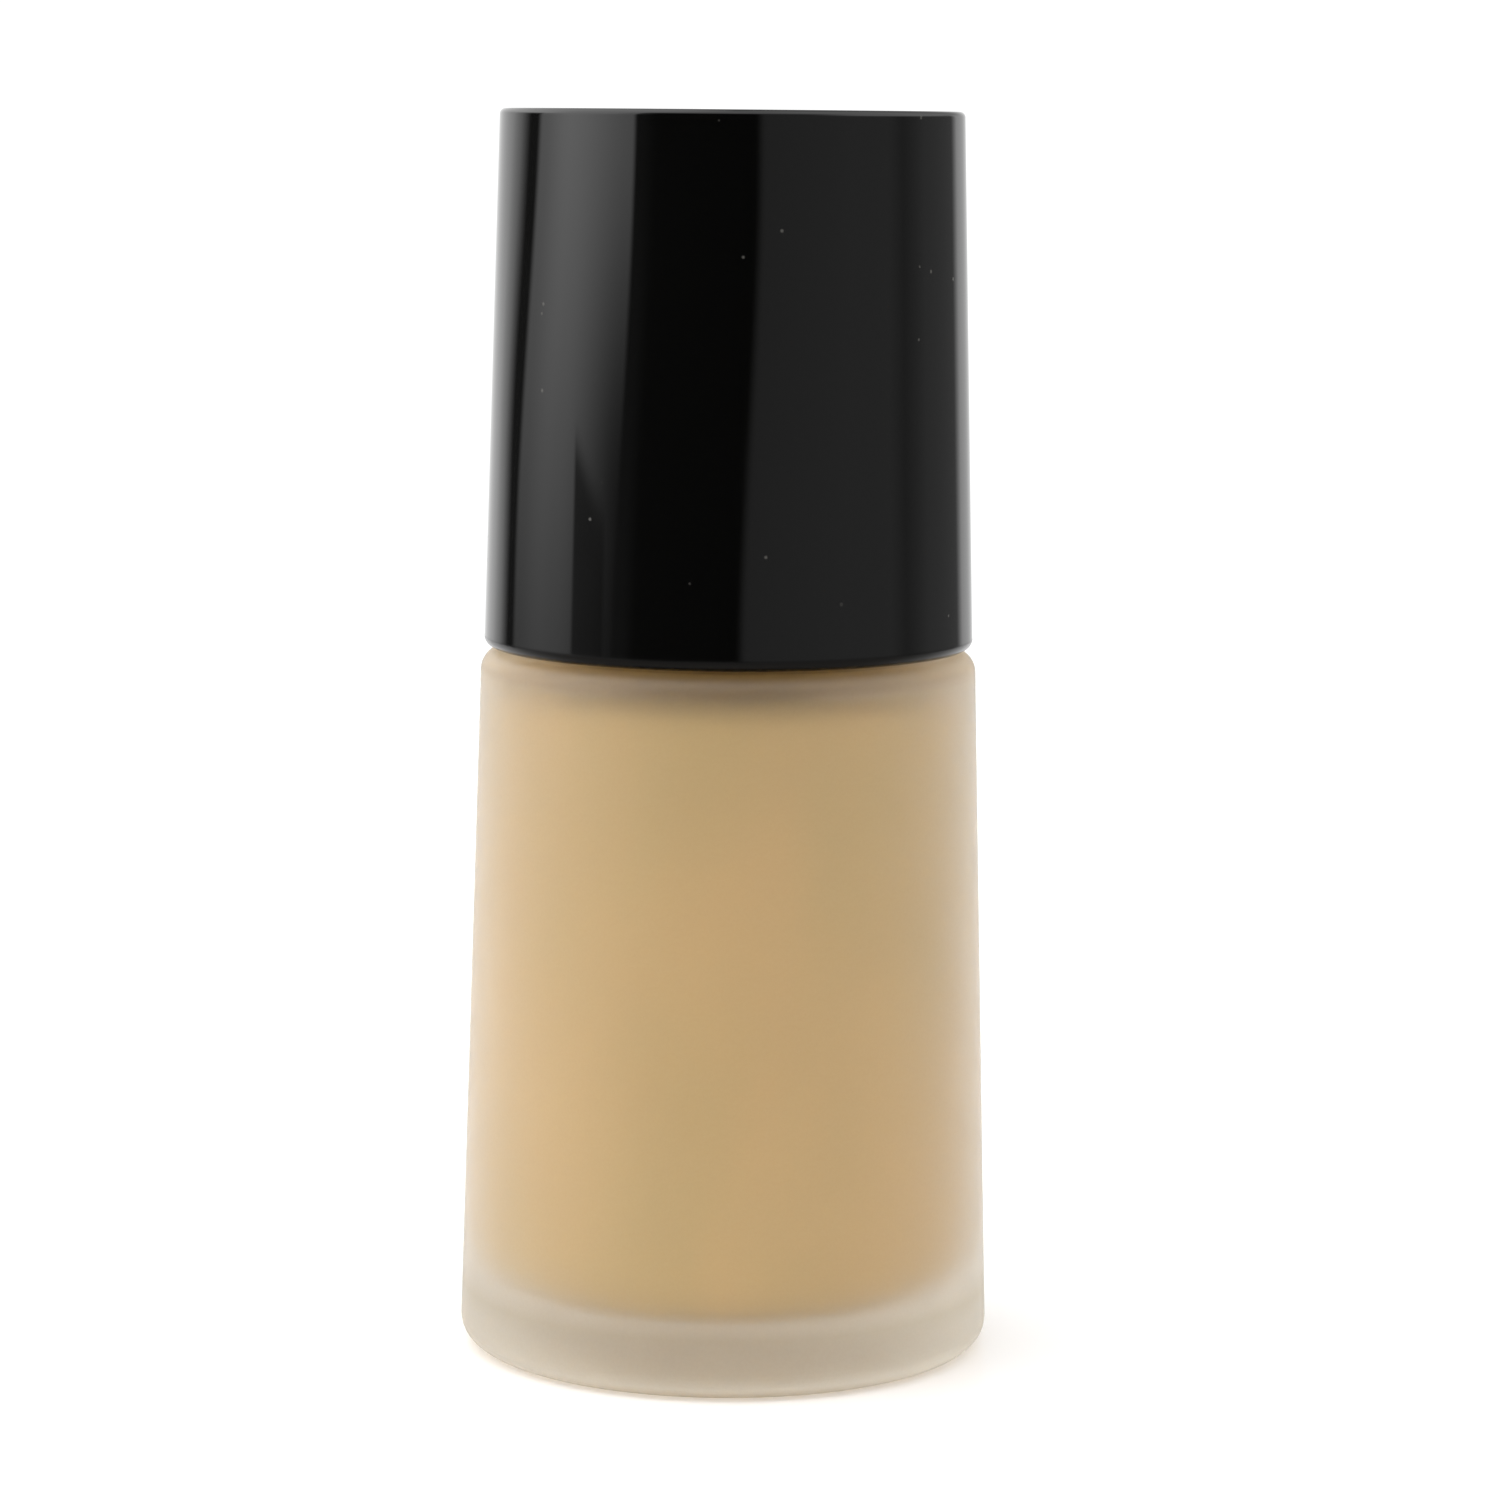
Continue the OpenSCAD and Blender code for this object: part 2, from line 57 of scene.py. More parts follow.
class Value:
    """A socket of a shader tree that sums can be written with."""

    def __init__(self, recipe, socket):
        self.recipe = recipe
        self.socket = socket

    def __add__(self, other):
        return self.recipe.maths("ADD", self, other)

    def __radd__(self, other):
        return self.recipe.maths("ADD", other, self)

    def __sub__(self, other):
        return self.recipe.maths("SUBTRACT", self, other)

    def __rsub__(self, other):
        return self.recipe.maths("SUBTRACT", other, self)

    def __mul__(self, other):
        return self.recipe.maths("MULTIPLY", self, other)

    def __rmul__(self, other):
        return self.recipe.maths("MULTIPLY", other, self)

    def __truediv__(self, other):
        return self.recipe.maths("DIVIDE", self, other)

    def __rtruediv__(self, other):
        return self.recipe.maths("DIVIDE", other, self)

    def __neg__(self):
        return self.recipe.maths("MULTIPLY", self, -1)

    def output(self, number):
        """Another output of the node that this value comes from."""
        return Value(self.recipe, self.socket.node.outputs[number])

    def rise(self, low, high, start=0.0, end=1.0):
        """Goes smoothly from start at low to end at high."""
        settings = {"interpolation_type": "SMOOTHSTEP"}
        return self.recipe.node("ShaderNodeMapRange", settings, {
            "Value": self, "From Min": low, "From Max": high, "To Min": start, "To Max": end})


class Recipe:
    """Builds the nodes of one finish, or of the studio's light."""

    def __init__(self, tree):
        self.tree = tree
        self.tree.nodes.clear()

    def node(self, kind, settings=None, sockets=None, out=0):
        made = self.tree.nodes.new(kind)
        for name, setting in (settings or {}).items():
            if name == "stops":
                stops = made.color_ramp.elements
                while len(stops) < len(setting):
                    stops.new(1.0)
                for stop, (place, colour) in zip(stops, setting):
                    stop.position = place
                    stop.color = colour
            else:
                setattr(made, name, setting)
        for name, given in (sockets or {}).items():
            socket = made.inputs[name]
            if isinstance(given, Value):
                self.tree.links.new(given.socket, socket)
            else:
                socket.default_value = given
        return Value(self, made.outputs[out]) if len(made.outputs) else None

    def maths(self, operation, *terms):
        return self.node("ShaderNodeMath", {"operation": operation}, dict(enumerate(terms)))

    def place(self):
        return self.node("ShaderNodeTexCoord", out=3)

    def height(self):
        """Height above the base at rest, in mm."""
        return self.node("ShaderNodeSeparateXYZ", {}, {"Vector": self.place()}, out=2)/MM

    def grain(self, size_mm, detail=2.0, roughness=0.5, stretch=(1, 1, 1), warp=0.0):
        """Even noise whose grains are about size_mm across."""
        where = self.node("ShaderNodeMapping", {}, {"Vector": self.place(), "Scale": stretch})
        return self.node("ShaderNodeTexNoise", {}, {
            "Vector": where, "Scale": 1/(size_mm*MM), "Detail": detail,
            "Roughness": roughness, "Distortion": warp})

    def specks(self, size_mm, share):
        """1 on sparse specks, 0 between them."""
        to_centre = self.node("ShaderNodeTexVoronoi", {"feature": "F1"}, {
            "Vector": self.place(), "Scale": 1/(size_mm*MM)})
        cell_colour = to_centre.output(1)
        drawn = self.node("ShaderNodeSeparateColor", {}, {"Color": cell_colour})
        return to_centre.rise(0.2, 0.1)*drawn.rise(share, share*0.9)

    def blend(self, share, first, second):
        settings = {"data_type": "RGBA"}
        return self.node("ShaderNodeMix", settings, {0: share, 6: first, 7: second}, out=2)

    def by_height(self, top_mm, *stops):
        """A colour that changes with the height above the base."""
        places = [(height_mm/top_mm, (*colour, 1)) for height_mm, colour in stops]
        return self.node("ShaderNodeValToRGB", {"stops": places}, {
            "Fac": self.height()/top_mm})

    def times(self, first, second):
        settings = {"data_type": "RGBA", "blend_type": "MULTIPLY"}
        return self.node("ShaderNodeMix", settings, {0: 1.0, 6: first, 7: second}, out=2)

    def bump(self, height, depth_mm, strength=1.0):
        return self.node("ShaderNodeBump", {}, {
            "Height": height, "Distance": depth_mm*MM, "Strength": strength})

    def surface(self, **sockets):
        """The finish's shader. Socket names are written with _ for a space."""
        given = {name.replace("_", " "): value for name, value in sockets.items()}
        shader = self.node("ShaderNodeBsdfPrincipled", {}, given)
        self.node("ShaderNodeOutputMaterial", {}, {"Surface": shader})


def finish(name, slot):
    made = bpy.data.materials.new(name)
    made.use_nodes = True
    made["slot"] = slot
    return made, Recipe(made.node_tree)


# ---- finishes ------------------------------------------------------------

def etched_glass():
    """The acid-etched outside of the glass, with a faint warm tint in its thick base, and painted
    shade that darkens and warms it at the top of the floor and at the shoulder under the cap.
    """
    made, r = finish("etched_glass", "frosted_glass")
    frost = r.grain(0.22, detail=3, roughness=0.6)
    cloud = r.grain(6, detail=2)
    even = r.blend(
        0.6*frost.rise(0.3, 0.7) + 0.4*cloud.rise(0.3, 0.7),
        (0.925, 0.915, 0.893, 1), (1, 0.998, 0.987, 1))
    # Painted shade: the colour darkens in a band where the floor meets the cream, and darkens and
    # warms from 50.2 mm up, where the cream lies in the cap's shade.
    through = r.by_height(
        53, (0, (0.93, 0.92, 0.88)), (1.9, (0.93, 0.92, 0.86)), (3.3, (0.88, 0.86, 0.79)),
        (4.6, (0.76, 0.72, 0.61)), (5.4, (0.85, 0.81, 0.73)), (7, (1, 1, 1)),
        (50.2, (1, 1, 1)), (50.9, (1, 0.97, 0.9)), (51.4, (0.91, 0.83, 0.73)),
        (52, (0.79, 0.69, 0.53)), (53, (0.64, 0.55, 0.42)))
    r.surface(
        Base_Color=r.times(even, through),
        Roughness=0.6 + 0.08*frost + 0.03*cloud,
        IOR=1.5, Transmission_Weight=1.0,
        Coat_Weight=0.8, Coat_Roughness=0.55, Coat_IOR=1.5,
        Normal=r.bump(frost, 0.012, 0.6))
    return made


def fired_glass():
    """The smooth inside of the glass and its ground lip."""
    made, r = finish("fired_glass", "frosted_glass")
    ripple = r.grain(7, detail=1)
    r.surface(
        Base_Color=r.blend(ripple.rise(0.3, 0.7), (0.97, 0.97, 0.96, 1), (0.98, 0.98, 0.97, 1)),
        Roughness=0.03 + 0.03*ripple, IOR=1.5, Transmission_Weight=1.0,
        Normal=r.bump(ripple, 0.02, 0.4))
    return made


def cream():
    """Foundation cream, with its fine pigment."""
    made, r = finish("cream", "foundation_liquid")
    pigment = r.grain(0.25, detail=3)
    swirl = r.grain(9, detail=3, stretch=(1, 1, 0.4), warp=0.6)
    r.surface(
        Base_Color=r.blend(
            (0.75*swirl + 0.25*pigment).rise(0.3, 0.7),
            (0.535, 0.375, 0.145, 1), (0.61, 0.405, 0.161, 1)),
        Roughness=0.42 + 0.08*pigment, IOR=1.42,
        Normal=r.bump(swirl, 0.03, 0.3))
    return made


def gloss_black():
    """Polished black plastic with a little dust and handling."""
    made, r = finish("gloss_black", "gloss_black")
    dust = r.specks(0.9, 0.03)
    smear = r.grain(8, detail=3, stretch=(1, 1, 0.5), warp=0.4)
    hair = r.grain(0.5, detail=2, stretch=(1, 1, 0.06))
    # Painted shade: the lowest edge of the cap and of the collar is made darker, rougher and
    # metallic, so that it mirrors only faintly.
    edge = r.height().rise(54, 53.7)*r.height().rise(52.9, 53)
    clean = r.blend(edge, (0.0012, 0.0012, 0.0011, 1), (0.009, 0.0085, 0.008, 1))
    r.surface(
        Base_Color=r.blend(dust, clean, (0.06, 0.058, 0.052, 1)),
        Roughness=0.035 + 0.03*smear.rise(0.45, 0.75) + 0.25*dust + 0.2*edge,
        Metallic=edge, IOR=1.5,
        Normal=r.bump(0.8*smear + 0.2*hair, 0.004, 0.25))
    return made


def satin_black():
    """Moulded black plastic as it leaves the tool."""
    made, r = finish("satin_black", "satin_black")
    spark = r.grain(0.12, detail=3)
    flow = r.grain(5, detail=2, stretch=(1, 1, 0.5))
    r.surface(
        Base_Color=r.blend(flow, (0.012, 0.012, 0.013, 1), (0.02, 0.02, 0.021, 1)),
        Roughness=0.36 + 0.14*spark + 0.06*flow, IOR=1.49,
        Normal=r.bump(spark, 0.012, 0.5))
    return made


def natural_plastic():
    """Uncoloured plastic of the pump's chamber and tube."""
    made, r = finish("natural_plastic", "natural_plastic")
    haze = r.grain(2.5, detail=3, stretch=(1, 1, 0.3))
    fine = r.grain(0.2, detail=2)
    r.surface(
        Base_Color=r.blend(haze, (0.74, 0.76, 0.76, 1), (0.84, 0.86, 0.86, 1)),
        Roughness=0.24 + 0.14*haze + 0.04*fine, IOR=1.51, Transmission_Weight=0.55,
        Normal=r.bump(0.7*haze + 0.3*fine, 0.02, 0.4))
    return made


def seal_white():
    """Soft white plastic of the wiping parts."""
    made, r = finish("seal_white", "seal_white")
    fine = r.grain(0.15, detail=3)
    haze = r.grain(3, detail=2)
    r.surface(
        Base_Color=r.blend(haze, (0.80, 0.80, 0.77, 1), (0.88, 0.88, 0.85, 1)),
        Roughness=0.42 + 0.14*fine, IOR=1.5, Subsurface_Weight=0.15,
        Subsurface_Radius=(0.6*MM, 0.6*MM, 0.5*MM), Subsurface_Scale=1.0,
        Normal=r.bump(fine, 0.01, 0.5))
    return made


def spring_steel():
    """Drawn stainless wire and ground balls."""
    made, r = finish("spring_steel", "steel")
    draw = r.grain(0.06, detail=2, stretch=(1, 1, 0.25))
    stain = r.grain(1.5, detail=2)
    r.surface(
        Base_Color=r.blend(stain, (0.52, 0.52, 0.53, 1), (0.64, 0.64, 0.65, 1)),
        Metallic=1.0, Roughness=0.16 + 0.16*draw,
        Normal=r.bump(draw, 0.004, 0.4))
    return made


ETCHED = etched_glass()
FIRED = fired_glass()
CREAM = cream()
GLOSS = gloss_black()
SATIN = satin_black()
NATURAL = natural_plastic()
SEAL = seal_white()
STEEL = spring_steel()


# ---- turned shapes -------------------------------------------------------

def rounded(corners, steps=8):
    """Points (radius, height, finish) along corners (radius, height, fillet, finish), in mm."""
    points = []
    last = len(corners) - 1
    for i, (radius, height, fillet, made) in enumerate(corners):
        here = Vector((radius, height))
        if not fillet or i in (0, last):
            points.append((radius, height, made))
            continue
        back = Vector(corners[i - 1][:2]) - here
        on = Vector(corners[i + 1][:2]) - here
        back_way, on_way = back.normalized(), on.normalized()
        half = back_way.angle(on_way)/2
        reach = min(fillet/math.tan(half), 0.49*back.length, 0.49*on.length)
        true_fillet = reach*math.tan(half)
        centre = here + (back_way + on_way).normalized()*(true_fillet/math.sin(half))
        start, end = here + back_way*reach - centre, here + on_way*reach - centre
        sweep = start.angle_signed(end)
        for k in range(steps + 1):
            spoke = start.copy()
            spoke.rotate(Matrix.Rotation(-sweep*k/steps, 2))
            spot = centre + spoke
            points.append((spot.x, spot.y, made))
    return points


def supported(points, closed, near=0.06):
    """Adds a point close to each end of every long stretch, so that its shading stays true."""
    after = points[1:] + (points[:1] if closed else [])
    full = []
    for (r0, z0, made), (r1, z1, _) in zip(points, after):
        full.append((r0, z0, made))
        length = math.hypot(r1 - r0, z1 - z0)
        if length > 5*near:
            for share in (near/length, 1 - near/length):
                full.append((r0 + (r1 - r0)*share, z0 + (z1 - z0)*share, made))
    return full if closed else full + points[-1:]


def placed(name, shape, body, node, finishes):
    """Turns a shape into a piece that rides a body and stands for a CAD node."""
    bmesh.ops.recalc_face_normals(shape, faces=shape.faces)
    mesh = bpy.data.meshes.new(name)
    shape.to_mesh(mesh)
    shape.free()
    mesh.set_sharp_from_angle(angle=math.radians(35))
    piece = bpy.data.objects.new(name, mesh)
    bpy.context.scene.collection.objects.link(piece)
    for made in finishes:
        mesh.materials.append(made)
    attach(piece, body)
    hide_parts(node)
    return piece


def turned(name, points, body, node, finishes, sides=192, relief=None, closed=False):
    """Turns an outline about Z into one mesh piece that stands for a CAD node."""
    points = supported(points, closed)
    shape = bmesh.new()
    rows = []
    for radius, height, made in points:
        if radius < 1e-6:
            rows.append([shape.verts.new((0, 0, height*MM))])
            continue
        row = []
        for k in range(sides):
            angle = FULL_TURN*k/sides
            out = (radius + (relief(radius, height, angle) if relief else 0))*MM
            row.append(shape.verts.new((out*math.cos(angle), out*math.sin(angle), height*MM)))
        rows.append(row)
    pairs = list(zip(range(len(rows)), range(1, len(rows))))
    if closed:
        pairs.append((len(rows) - 1, 0))
    for a, b in pairs:
        low, high = rows[a], rows[b]
        if len(low) == 1 and len(high) == 1:
            continue
        for k in range(sides):
            following = (k + 1) % sides
            if len(low) == 1:
                corner = (low[0], high[following], high[k])
            elif len(high) == 1:
                corner = (low[k], low[following], high[0])
            else:
                corner = (low[k], low[following], high[following], high[k])
            face = shape.faces.new(corner)
            face.material_index = points[a][2]
            face.smooth = True
    placed(name, shape, body, node, finishes)


def along(here, low, at_low, high, at_high):
    """The value at here on the straight line through (low, at_low) and (high, at_high)."""
    return at_low + (at_high - at_low)*(here - low)/(high - low)


# ---- glass bottle --------------------------------------------------------

glass_low, glass_high = (Vector(corner)/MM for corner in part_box("bottle"))
HEEL_R = min(glass_high.xy)
LIP_Z = glass_high.z
NECK_H = 15.5
SHOULDER_Z = LIP_Z - NECK_H
SHOULDER_R = 18.55
HEEL_FILLET = 1.9
SHOULDER_FILLET = 1.6
FLOOR_T = 5.2
FLOOR_DISH = 1.2
FOOT_FILLET = 2.4
WALL_T = 3.9
CEILING_Z = SHOULDER_Z - 1.8
CEILING_FILLET = 2.2
PUSH_UP_H = 0.9
PUSH_UP_R = HEEL_R - 4.6
PUSH_UP_SLOPE = 1.2
NECK_R = 7.75
NECK_ROOT_FILLET = 0.8
BORE_R = 5.3
BORE_FILLET = 1.2
LIP_FILLET = 0.5
LIP_BAND = 0.6
BEAD_Z = SHOULDER_Z + 2.1
BEAD_OUT = 0.55
BEAD_HALF = 0.25
BEAD_FOOT = 0.6
PITCH = 3.175
THREAD_TURNS = 1.5
THREAD_Z = LIP_Z - 1.9 - THREAD_TURNS*PITCH
THREAD_H = 1.1
THREAD_HALF = 1.0
THREAD_FLANK = 0.55
THREAD_FADE = 1/15
THREAD_LEAD = 1.2


def glass_r(height):
    return along(height, HEEL_FILLET, HEEL_R, SHOULDER_Z - SHOULDER_FILLET, SHOULDER_R)


def dished_floor(edge, rise=0.0):
    """The inside of the floor from its middle out to where its corner starts."""
    steps = 16
    return [
        (edge*k/steps, FLOOR_T - rise - FLOOR_DISH*(1 + math.cos(math.pi*k/steps))/2)
        for k in range(steps + 1)
    ]


def thread(radius, height, angle):
    """How far the screw ridge stands out of the neck."""
    if abs(radius - NECK_R) > 0.01:
        return 0
    tallest = 0
    for start in (0, 1):
        turns = angle/FULL_TURN + start
        if turns > THREAD_TURNS:
            continue
        off = abs(height - THREAD_Z - PITCH*turns)
        flank = min(1, max(0, (THREAD_HALF - off)/THREAD_FLANK))
        ends = min(1, turns/THREAD_FADE, (THREAD_TURNS - turns)/THREAD_FADE)
        tallest = max(tallest, flank*flank*(3 - 2*flank)*ends)
    return THREAD_H*tallest


def make_glass():
    etched, fired = 0, 1
    thread_rows = 60
    outside = [
        (0, PUSH_UP_H, 0, etched),
        (PUSH_UP_R - PUSH_UP_SLOPE, PUSH_UP_H, 0.8, etched),
        (PUSH_UP_R, 0, 0.5, etched),
        (glass_r(0), 0, HEEL_FILLET, etched),
        (glass_r(SHOULDER_Z), SHOULDER_Z, SHOULDER_FILLET, etched),
        (NECK_R, SHOULDER_Z, NECK_ROOT_FILLET, fired),
        (NECK_R, BEAD_Z - BEAD_FOOT, 0.2, fired),
        (NECK_R + BEAD_OUT, BEAD_Z - BEAD_HALF, 0.15, fired),
        (NECK_R + BEAD_OUT, BEAD_Z + BEAD_HALF, 0.15, fired),
        (NECK_R, BEAD_Z + BEAD_FOOT, 0.2, fired),
        (NECK_R, THREAD_Z - THREAD_LEAD, 0, fired),
    ]
    thread_foot, thread_end = THREAD_Z - THREAD_LEAD, LIP_Z - LIP_BAND
    rows = [
        (NECK_R, along(k, 0, thread_foot, thread_rows, thread_end), fired)
        for k in range(1, thread_rows)
    ]
    top_wall = glass_r(CEILING_Z) - WALL_T
    low_wall = glass_r(FLOOR_T) - WALL_T
    inside = [
        (NECK_R, LIP_Z - LIP_BAND, 0, fired),
        (NECK_R, LIP_Z, LIP_FILLET, fired),
        (BORE_R, LIP_Z, LIP_FILLET, fired),
        (BORE_R, CEILING_Z, BORE_FILLET, fired),
        (top_wall, CEILING_Z, CEILING_FILLET, fired),
        (low_wall, FLOOR_T, FOOT_FILLET, fired),
        (low_wall - 2*FOOT_FILLET, FLOOR_T, 0, fired),
    ]
    dish = [(r, z, fired) for r, z in reversed(dished_floor(low_wall - FOOT_FILLET)[:-1])]
    points = rounded(outside, 10) + rows + rounded(inside, 12)[:-1] + dish
    turned("frosted_bottle", points, "glass", "bottle",
           [ETCHED, FIRED], sides=240, relief=thread)


# ---- liquid in the bottle ------------------------------------------------

def make_cream():
    """The cream wets the glass, so it reaches a hair into it and leaves no air film."""
    wet = 0.03
    surface_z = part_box("foundation_fill")[1][2]/MM
    wall = glass_r(CEILING_Z) - WALL_T
    foot = glass_r(FLOOR_T) - WALL_T
    # The room that the pump takes up, from its chamber down to the end of its tube.
    chamber_r, socket_r, tube_r = 4.87, 2.62, 1.72
    chamber_foot_z, socket_top_z, socket_foot_z, tube_end_z = 47.4, 44.1, 35.9, 6.4
    ceiling_edge_r, surface_edge_r = BORE_R + 1, BORE_R + 0.6
    dish = [(r, z, 0) for r, z in dished_floor(foot - FOOT_FILLET, wet)[:-1]]
    points = dish + rounded([
        (foot - 2*FOOT_FILLET, FLOOR_T - wet, 0, 0),
        (foot + wet, FLOOR_T - wet, FOOT_FILLET, 0),
        (wall + wet, CEILING_Z + wet, CEILING_FILLET, 0),
        (ceiling_edge_r, CEILING_Z + wet, 0, 0),
        (surface_edge_r, surface_z, 0, 0),
        (chamber_r, surface_z, 0, 0),
        (chamber_r, chamber_foot_z, 0, 0),
        (socket_r, socket_top_z, 0, 0),
        (socket_r, socket_foot_z, 0, 0),
        (tube_r, socket_foot_z, 0, 0),
        (tube_r, tube_end_z, 0, 0),
        (0, tube_end_z, 0, 0),
    ], 12)[1:]
    turned("foundation_cream", points, "glass", "foundation_fill",
           [CREAM])


# ---- cap -----------------------------------------------------------------

cap_low, cap_high = (Vector(corner)/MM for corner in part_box("cap_shell"))
CAP_RIM_R = cap_high.x
CAP_TOP_R = 17.2
CAP_WALL = 1.5
CAP_TOP_T = 1.8
CAP_RIM_FILLET = 0.7
CAP_TOP_FILLET = 0.45
CAP_CORNER_FILLET = 1.2


def make_cap_shell():
    rim_z, top_z = cap_low.z, cap_high.z
    ceiling = top_z - CAP_TOP_T
    seam = (CAP_RIM_R - CAP_WALL, rim_z + 1.5, 0, 0)
    points = rounded([
        seam,
        (CAP_RIM_R - CAP_WALL, rim_z, 0.15, 0),
        (CAP_RIM_R, rim_z, CAP_RIM_FILLET, 0),
        (CAP_TOP_R, top_z, CAP_TOP_FILLET, 0),
        (0, top_z, 0, 0),
        (0, ceiling, 0, 0),
        (CAP_TOP_R - CAP_WALL, ceiling, CAP_CORNER_FILLET, 0),
        seam,
    ], 10)
    turned("black_cap", points[:-1], "cap", "cap_shell",
           [GLOSS], sides=256, closed=True)


# ---- return spring -------------------------------------------------------

def make_spring():
    """Closed, ground turns at both ends."""
    low, high = (Vector(corner)/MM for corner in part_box("return_spring"))
    wire, turns, closed_turns, sides, steps = 0.3, 8, 1, 12, 40
    coil = high.x - wire
    first, last = low.z + wire, high.z - wire
    flat = 2*wire + 0.02
    lead = (last - first - 2*closed_turns*flat)/(turns - 2*closed_turns)
    shape = bmesh.new()
    rows = []
    for k in range(turns*steps + 1):
        turn = k/steps
        middle = (
            first + flat*min(turn, closed_turns)
            + lead*min(max(turn - closed_turns, 0), turns - 2*closed_turns)
            + flat*max(turn - turns + closed_turns, 0))
        row = []
        for j in range(sides):
            round_wire = FULL_TURN*j/sides
            radius = (coil + wire*math.cos(round_wire))*MM
            angle = FULL_TURN*turn
            row.append(shape.verts.new((
                radius*math.cos(angle), radius*math.sin(angle),
                (middle + wire*math.sin(round_wire))*MM)))
        rows.append(row)
    for near, far in zip(rows, rows[1:]):
        for j in range(sides):
            following = (j + 1) % sides
            shape.faces.new((near[j], near[following], far[following], far[j])).smooth = True
    shape.faces.new(rows[0])
    shape.faces.new(rows[-1])
    piece = placed("pump_spring", shape, "pump", "return_spring", [STEEL])
    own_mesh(piece)


# ---- CAD nodes that stay -------------------------------------------------

KEPT = {
    "screw_closure": SATIN,
    "collar_sleeve": GLOSS,
    "neck_gasket": SEAL,
    "pump_housing": NATURAL,
    "dip_tube": NATURAL,
    "inlet_ball": STEEL,
    "housing_cap": SATIN,
    "stem_seal": SEAL,
    "piston": SEAL,
    "piston_retainer": SATIN,
    "stem": SEAL,
    "outlet_ball": STEEL,
    "actuator_core": SATIN,
    "actuator_shell": GLOSS,
    "nozzle_insert": SATIN,
    "cap_liner": SATIN,
}


def dress_kept_nodes():
    for node, made in KEPT.items():
        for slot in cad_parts[node].material_slots:
            slot.material = made


# ---- studio --------------------------------------------------------------

def make_floor():
    """A round white table top with a soft sheen, lit from below."""
    made, r = finish("white_table", "floor")
    wear = r.grain(40, detail=3)
    r.surface(
        Base_Color=r.blend(wear, (0.80, 0.80, 0.80, 1), (0.82, 0.82, 0.82, 1)),
        Roughness=0.22 + 0.03*wear, IOR=1.2,
        Emission_Color=(1, 1, 1, 1), Emission_Strength=0.24)
    shape = bmesh.new()
    bmesh.ops.create_circle(shape, cap_ends=True, segments=96, radius=0.42)
    mesh = bpy.data.meshes.new("table_top")
    shape.to_mesh(mesh)
    shape.free()
    mesh.materials.append(made)
    floor = bpy.data.objects.new("table_top", mesh)
    bpy.context.scene.collection.objects.link(floor)


def grey(level):
    return (level, level, level, 1)


def round_about(r, bearing, levels, top=1):
    """Light that changes with the bearing, from (bearing, level) pairs held as shares of top."""
    stops = [((at + 180)/360, grey(level/top)) for at, level in levels]
    return top*r.node("ShaderNodeValToRGB", {"stops": stops}, {"Fac": bearing/360 + 0.5})


def wall_light(r, bearing, height, front):
    """The tent's wall. Its edges lean as the studio is seen lower down."""
    far_left = bearing.rise(-95, -105)
    lean = front*height.rise(2.5, -3.5, 0, 8) - far_left*height.rise(-3, 2, 0, 10)
    return round_about(r, bearing + lean, [
        (-180, 1.1), (-146, 1.15), (-136, 0.8), (-127, 0.06), (-64, 0.12),
        (-44, 0.09), (-37, 0.03), (12, 0.02), (16, 0.31), (60, 0.37), (82, 0.34),
        (92, 0.2), (108, 0.3), (128, 0.24), (137, 0.22), (141, 0.6), (145, 0.95),
        (156, 0.85), (180, 1.0),
    ])


def panel_light(r, bearing, height):
    """A lit panel on the left, with a dark stand before its foot."""
    near = bearing - height.rise(-4.5, 3, -56, -48)
    far = bearing - height.rise(-4, 2.5, -120.5, -108)
    share = height.rise(-2, 3, 0.05, 0.6)
    panel = near.rise(1.5, -1.5)*(share + (1 - share)*near.rise(2, -34))
    panel = panel*far.rise(-2.5, 2.5)*far.rise(0, 24, 0.5, 1)
    stand = bearing.rise(-79.5, -77)*bearing.rise(-59, -62)
    stand = stand*(height + 0.04*(bearing + 78)).rise(-1.2, -1.8)
    return panel*(1 - 0.85*stand)*height.rise(-6, 4, 0.6, 2.25)


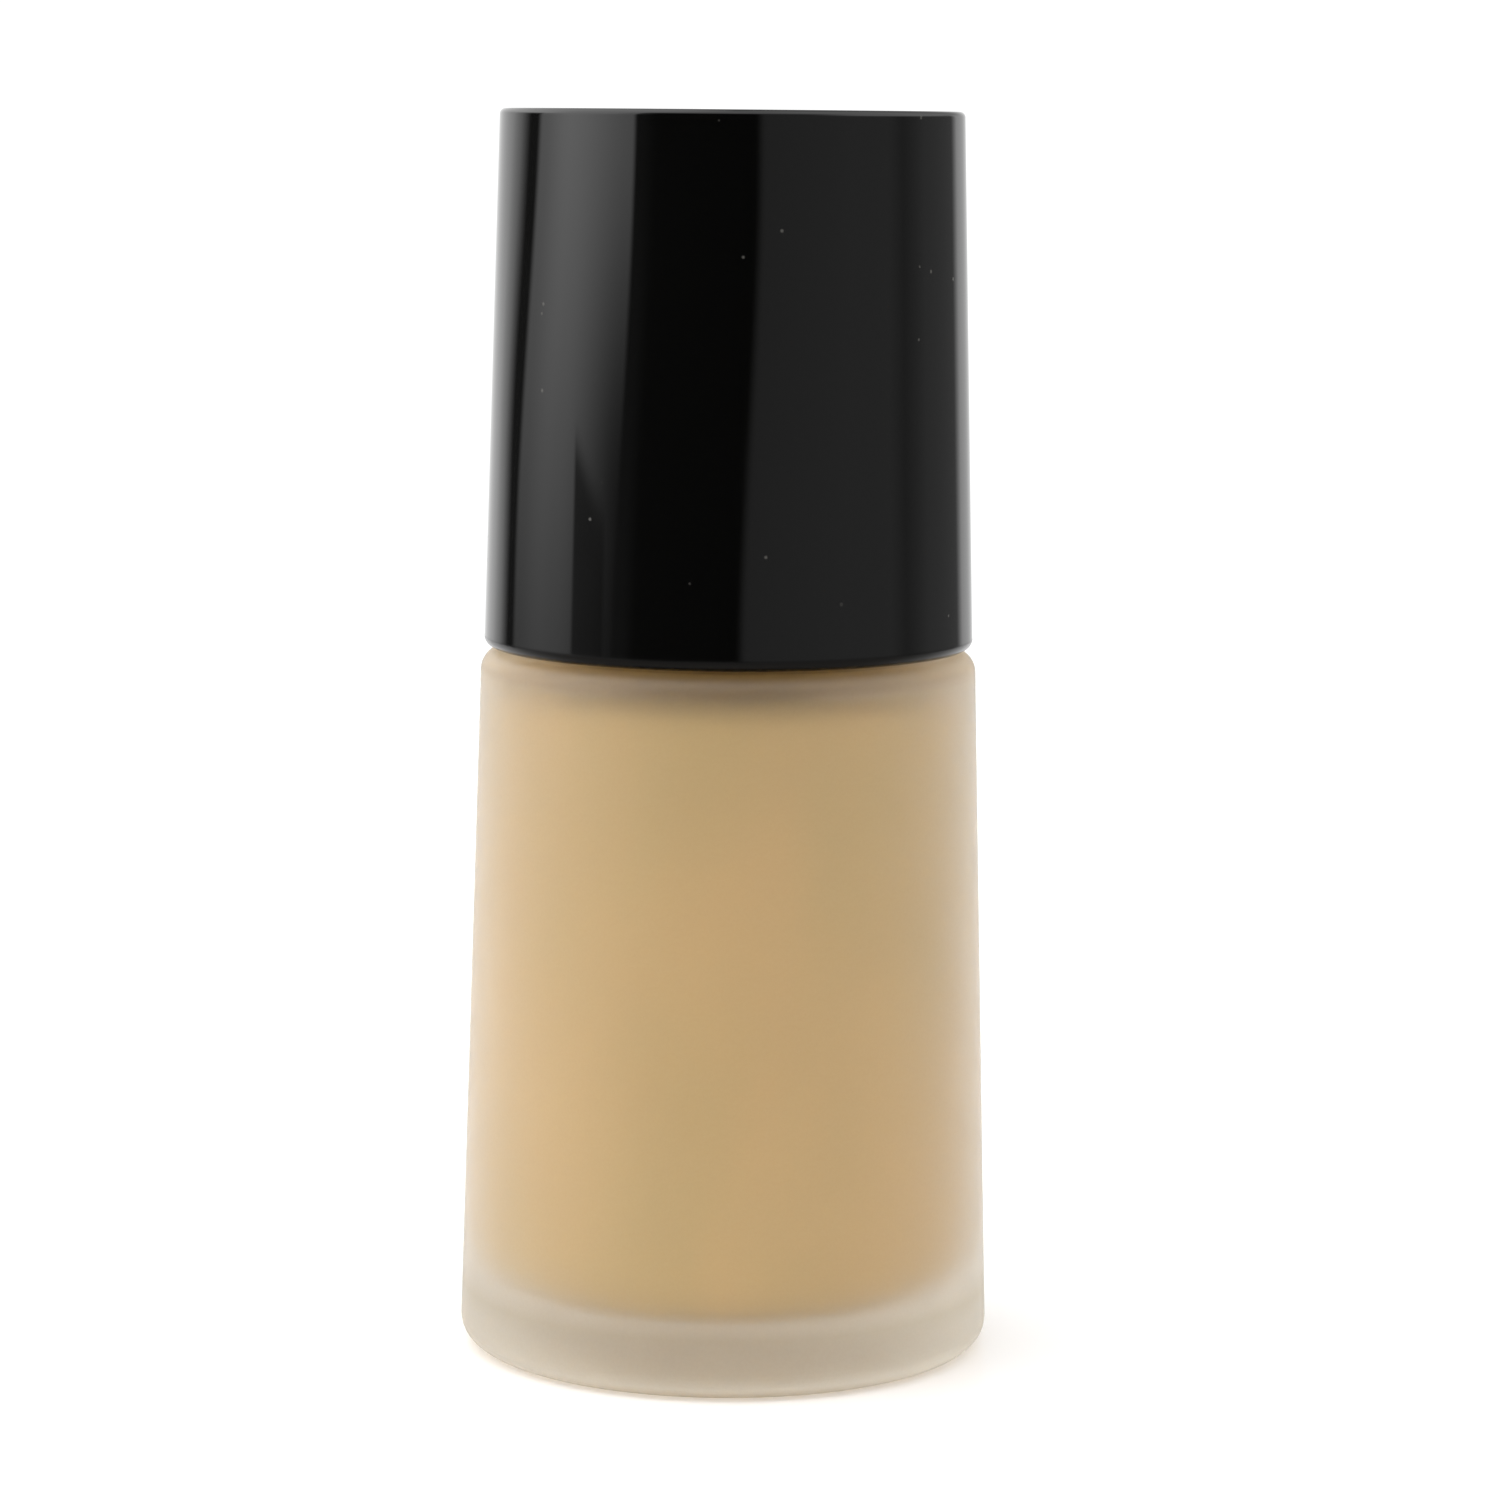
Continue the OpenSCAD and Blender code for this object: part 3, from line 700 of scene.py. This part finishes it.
def light_studio():
    """A white tent: bright behind and above, dim on the right, open and dark in front.

    Bearings and heights are in degrees from the bottle: 0 is in front and plus is right or up.
    """
    world = bpy.data.worlds.new("studio")
    bpy.context.scene.world = world
    world.use_nodes = True
    r = Recipe(world.node_tree)
    x = r.node("ShaderNodeSeparateXYZ", {}, {"Vector": r.node("ShaderNodeTexCoord", out=0)})
    y, z = x.output(1), x.output(2)
    bearing = r.maths("ARCTAN2", x, -y)*(180/math.pi)
    height = r.maths("ARCSINE", z)*(180/math.pi)
    front = r.maths("ABSOLUTE", bearing).rise(75, 35)
    overhead = front*height.rise(24, 50) + (1 - front)*height.rise(5, 20)
    sides = wall_light(r, bearing, height, front) + panel_light(r, bearing, height)
    sky = round_about(r, bearing, [
        (-180, 0.8), (-150, 1.4), (-110, 2.5), (-60, 2.5), (-20, 1.8),
        (20, 1.5), (60, 1.8), (110, 1.5), (150, 0.5), (180, 0.7),
    ], top=3)
    lit = r.node("ShaderNodeBackground", {}, {
        "Color": sides*(1 - overhead) + overhead*sky, "Strength": 1.0})
    plain = r.node("ShaderNodeBackground", {}, {"Color": grey(1.1), "Strength": 1.0})
    seen_by_camera = r.node("ShaderNodeLightPath", out=0)
    both = r.node("ShaderNodeMixShader", {}, {0: seen_by_camera, 1: lit, 2: plain})
    r.node("ShaderNodeOutputWorld", {}, {"Surface": both})


def set_camera():
    back_off, side_step, height = 0.350, 0.001688, 0.09219
    pitch, roll = math.radians(7.665), math.radians(0.50)
    focal_share = 4690/1500
    lens = bpy.data.cameras.new("camera")
    lens.sensor_width = 36
    lens.lens = focal_share*lens.sensor_width
    lens.clip_start, lens.clip_end = 0.01, 20
    camera = bpy.data.objects.new("camera", lens)
    bpy.context.scene.collection.objects.link(camera)
    camera.matrix_world = (
        Matrix.Translation((side_step, -back_off, height))
        @ Matrix.Rotation(math.pi/2 - pitch, 4, "X")
        @ Matrix.Rotation(roll, 4, "Z"))
    bpy.context.scene.camera = camera
    bpy.context.scene.view_settings.view_transform = "Standard"


set_camera()
make_floor()
light_studio()
make_glass()
make_cream()
make_cap_shell()
make_spring()
dress_kept_nodes()
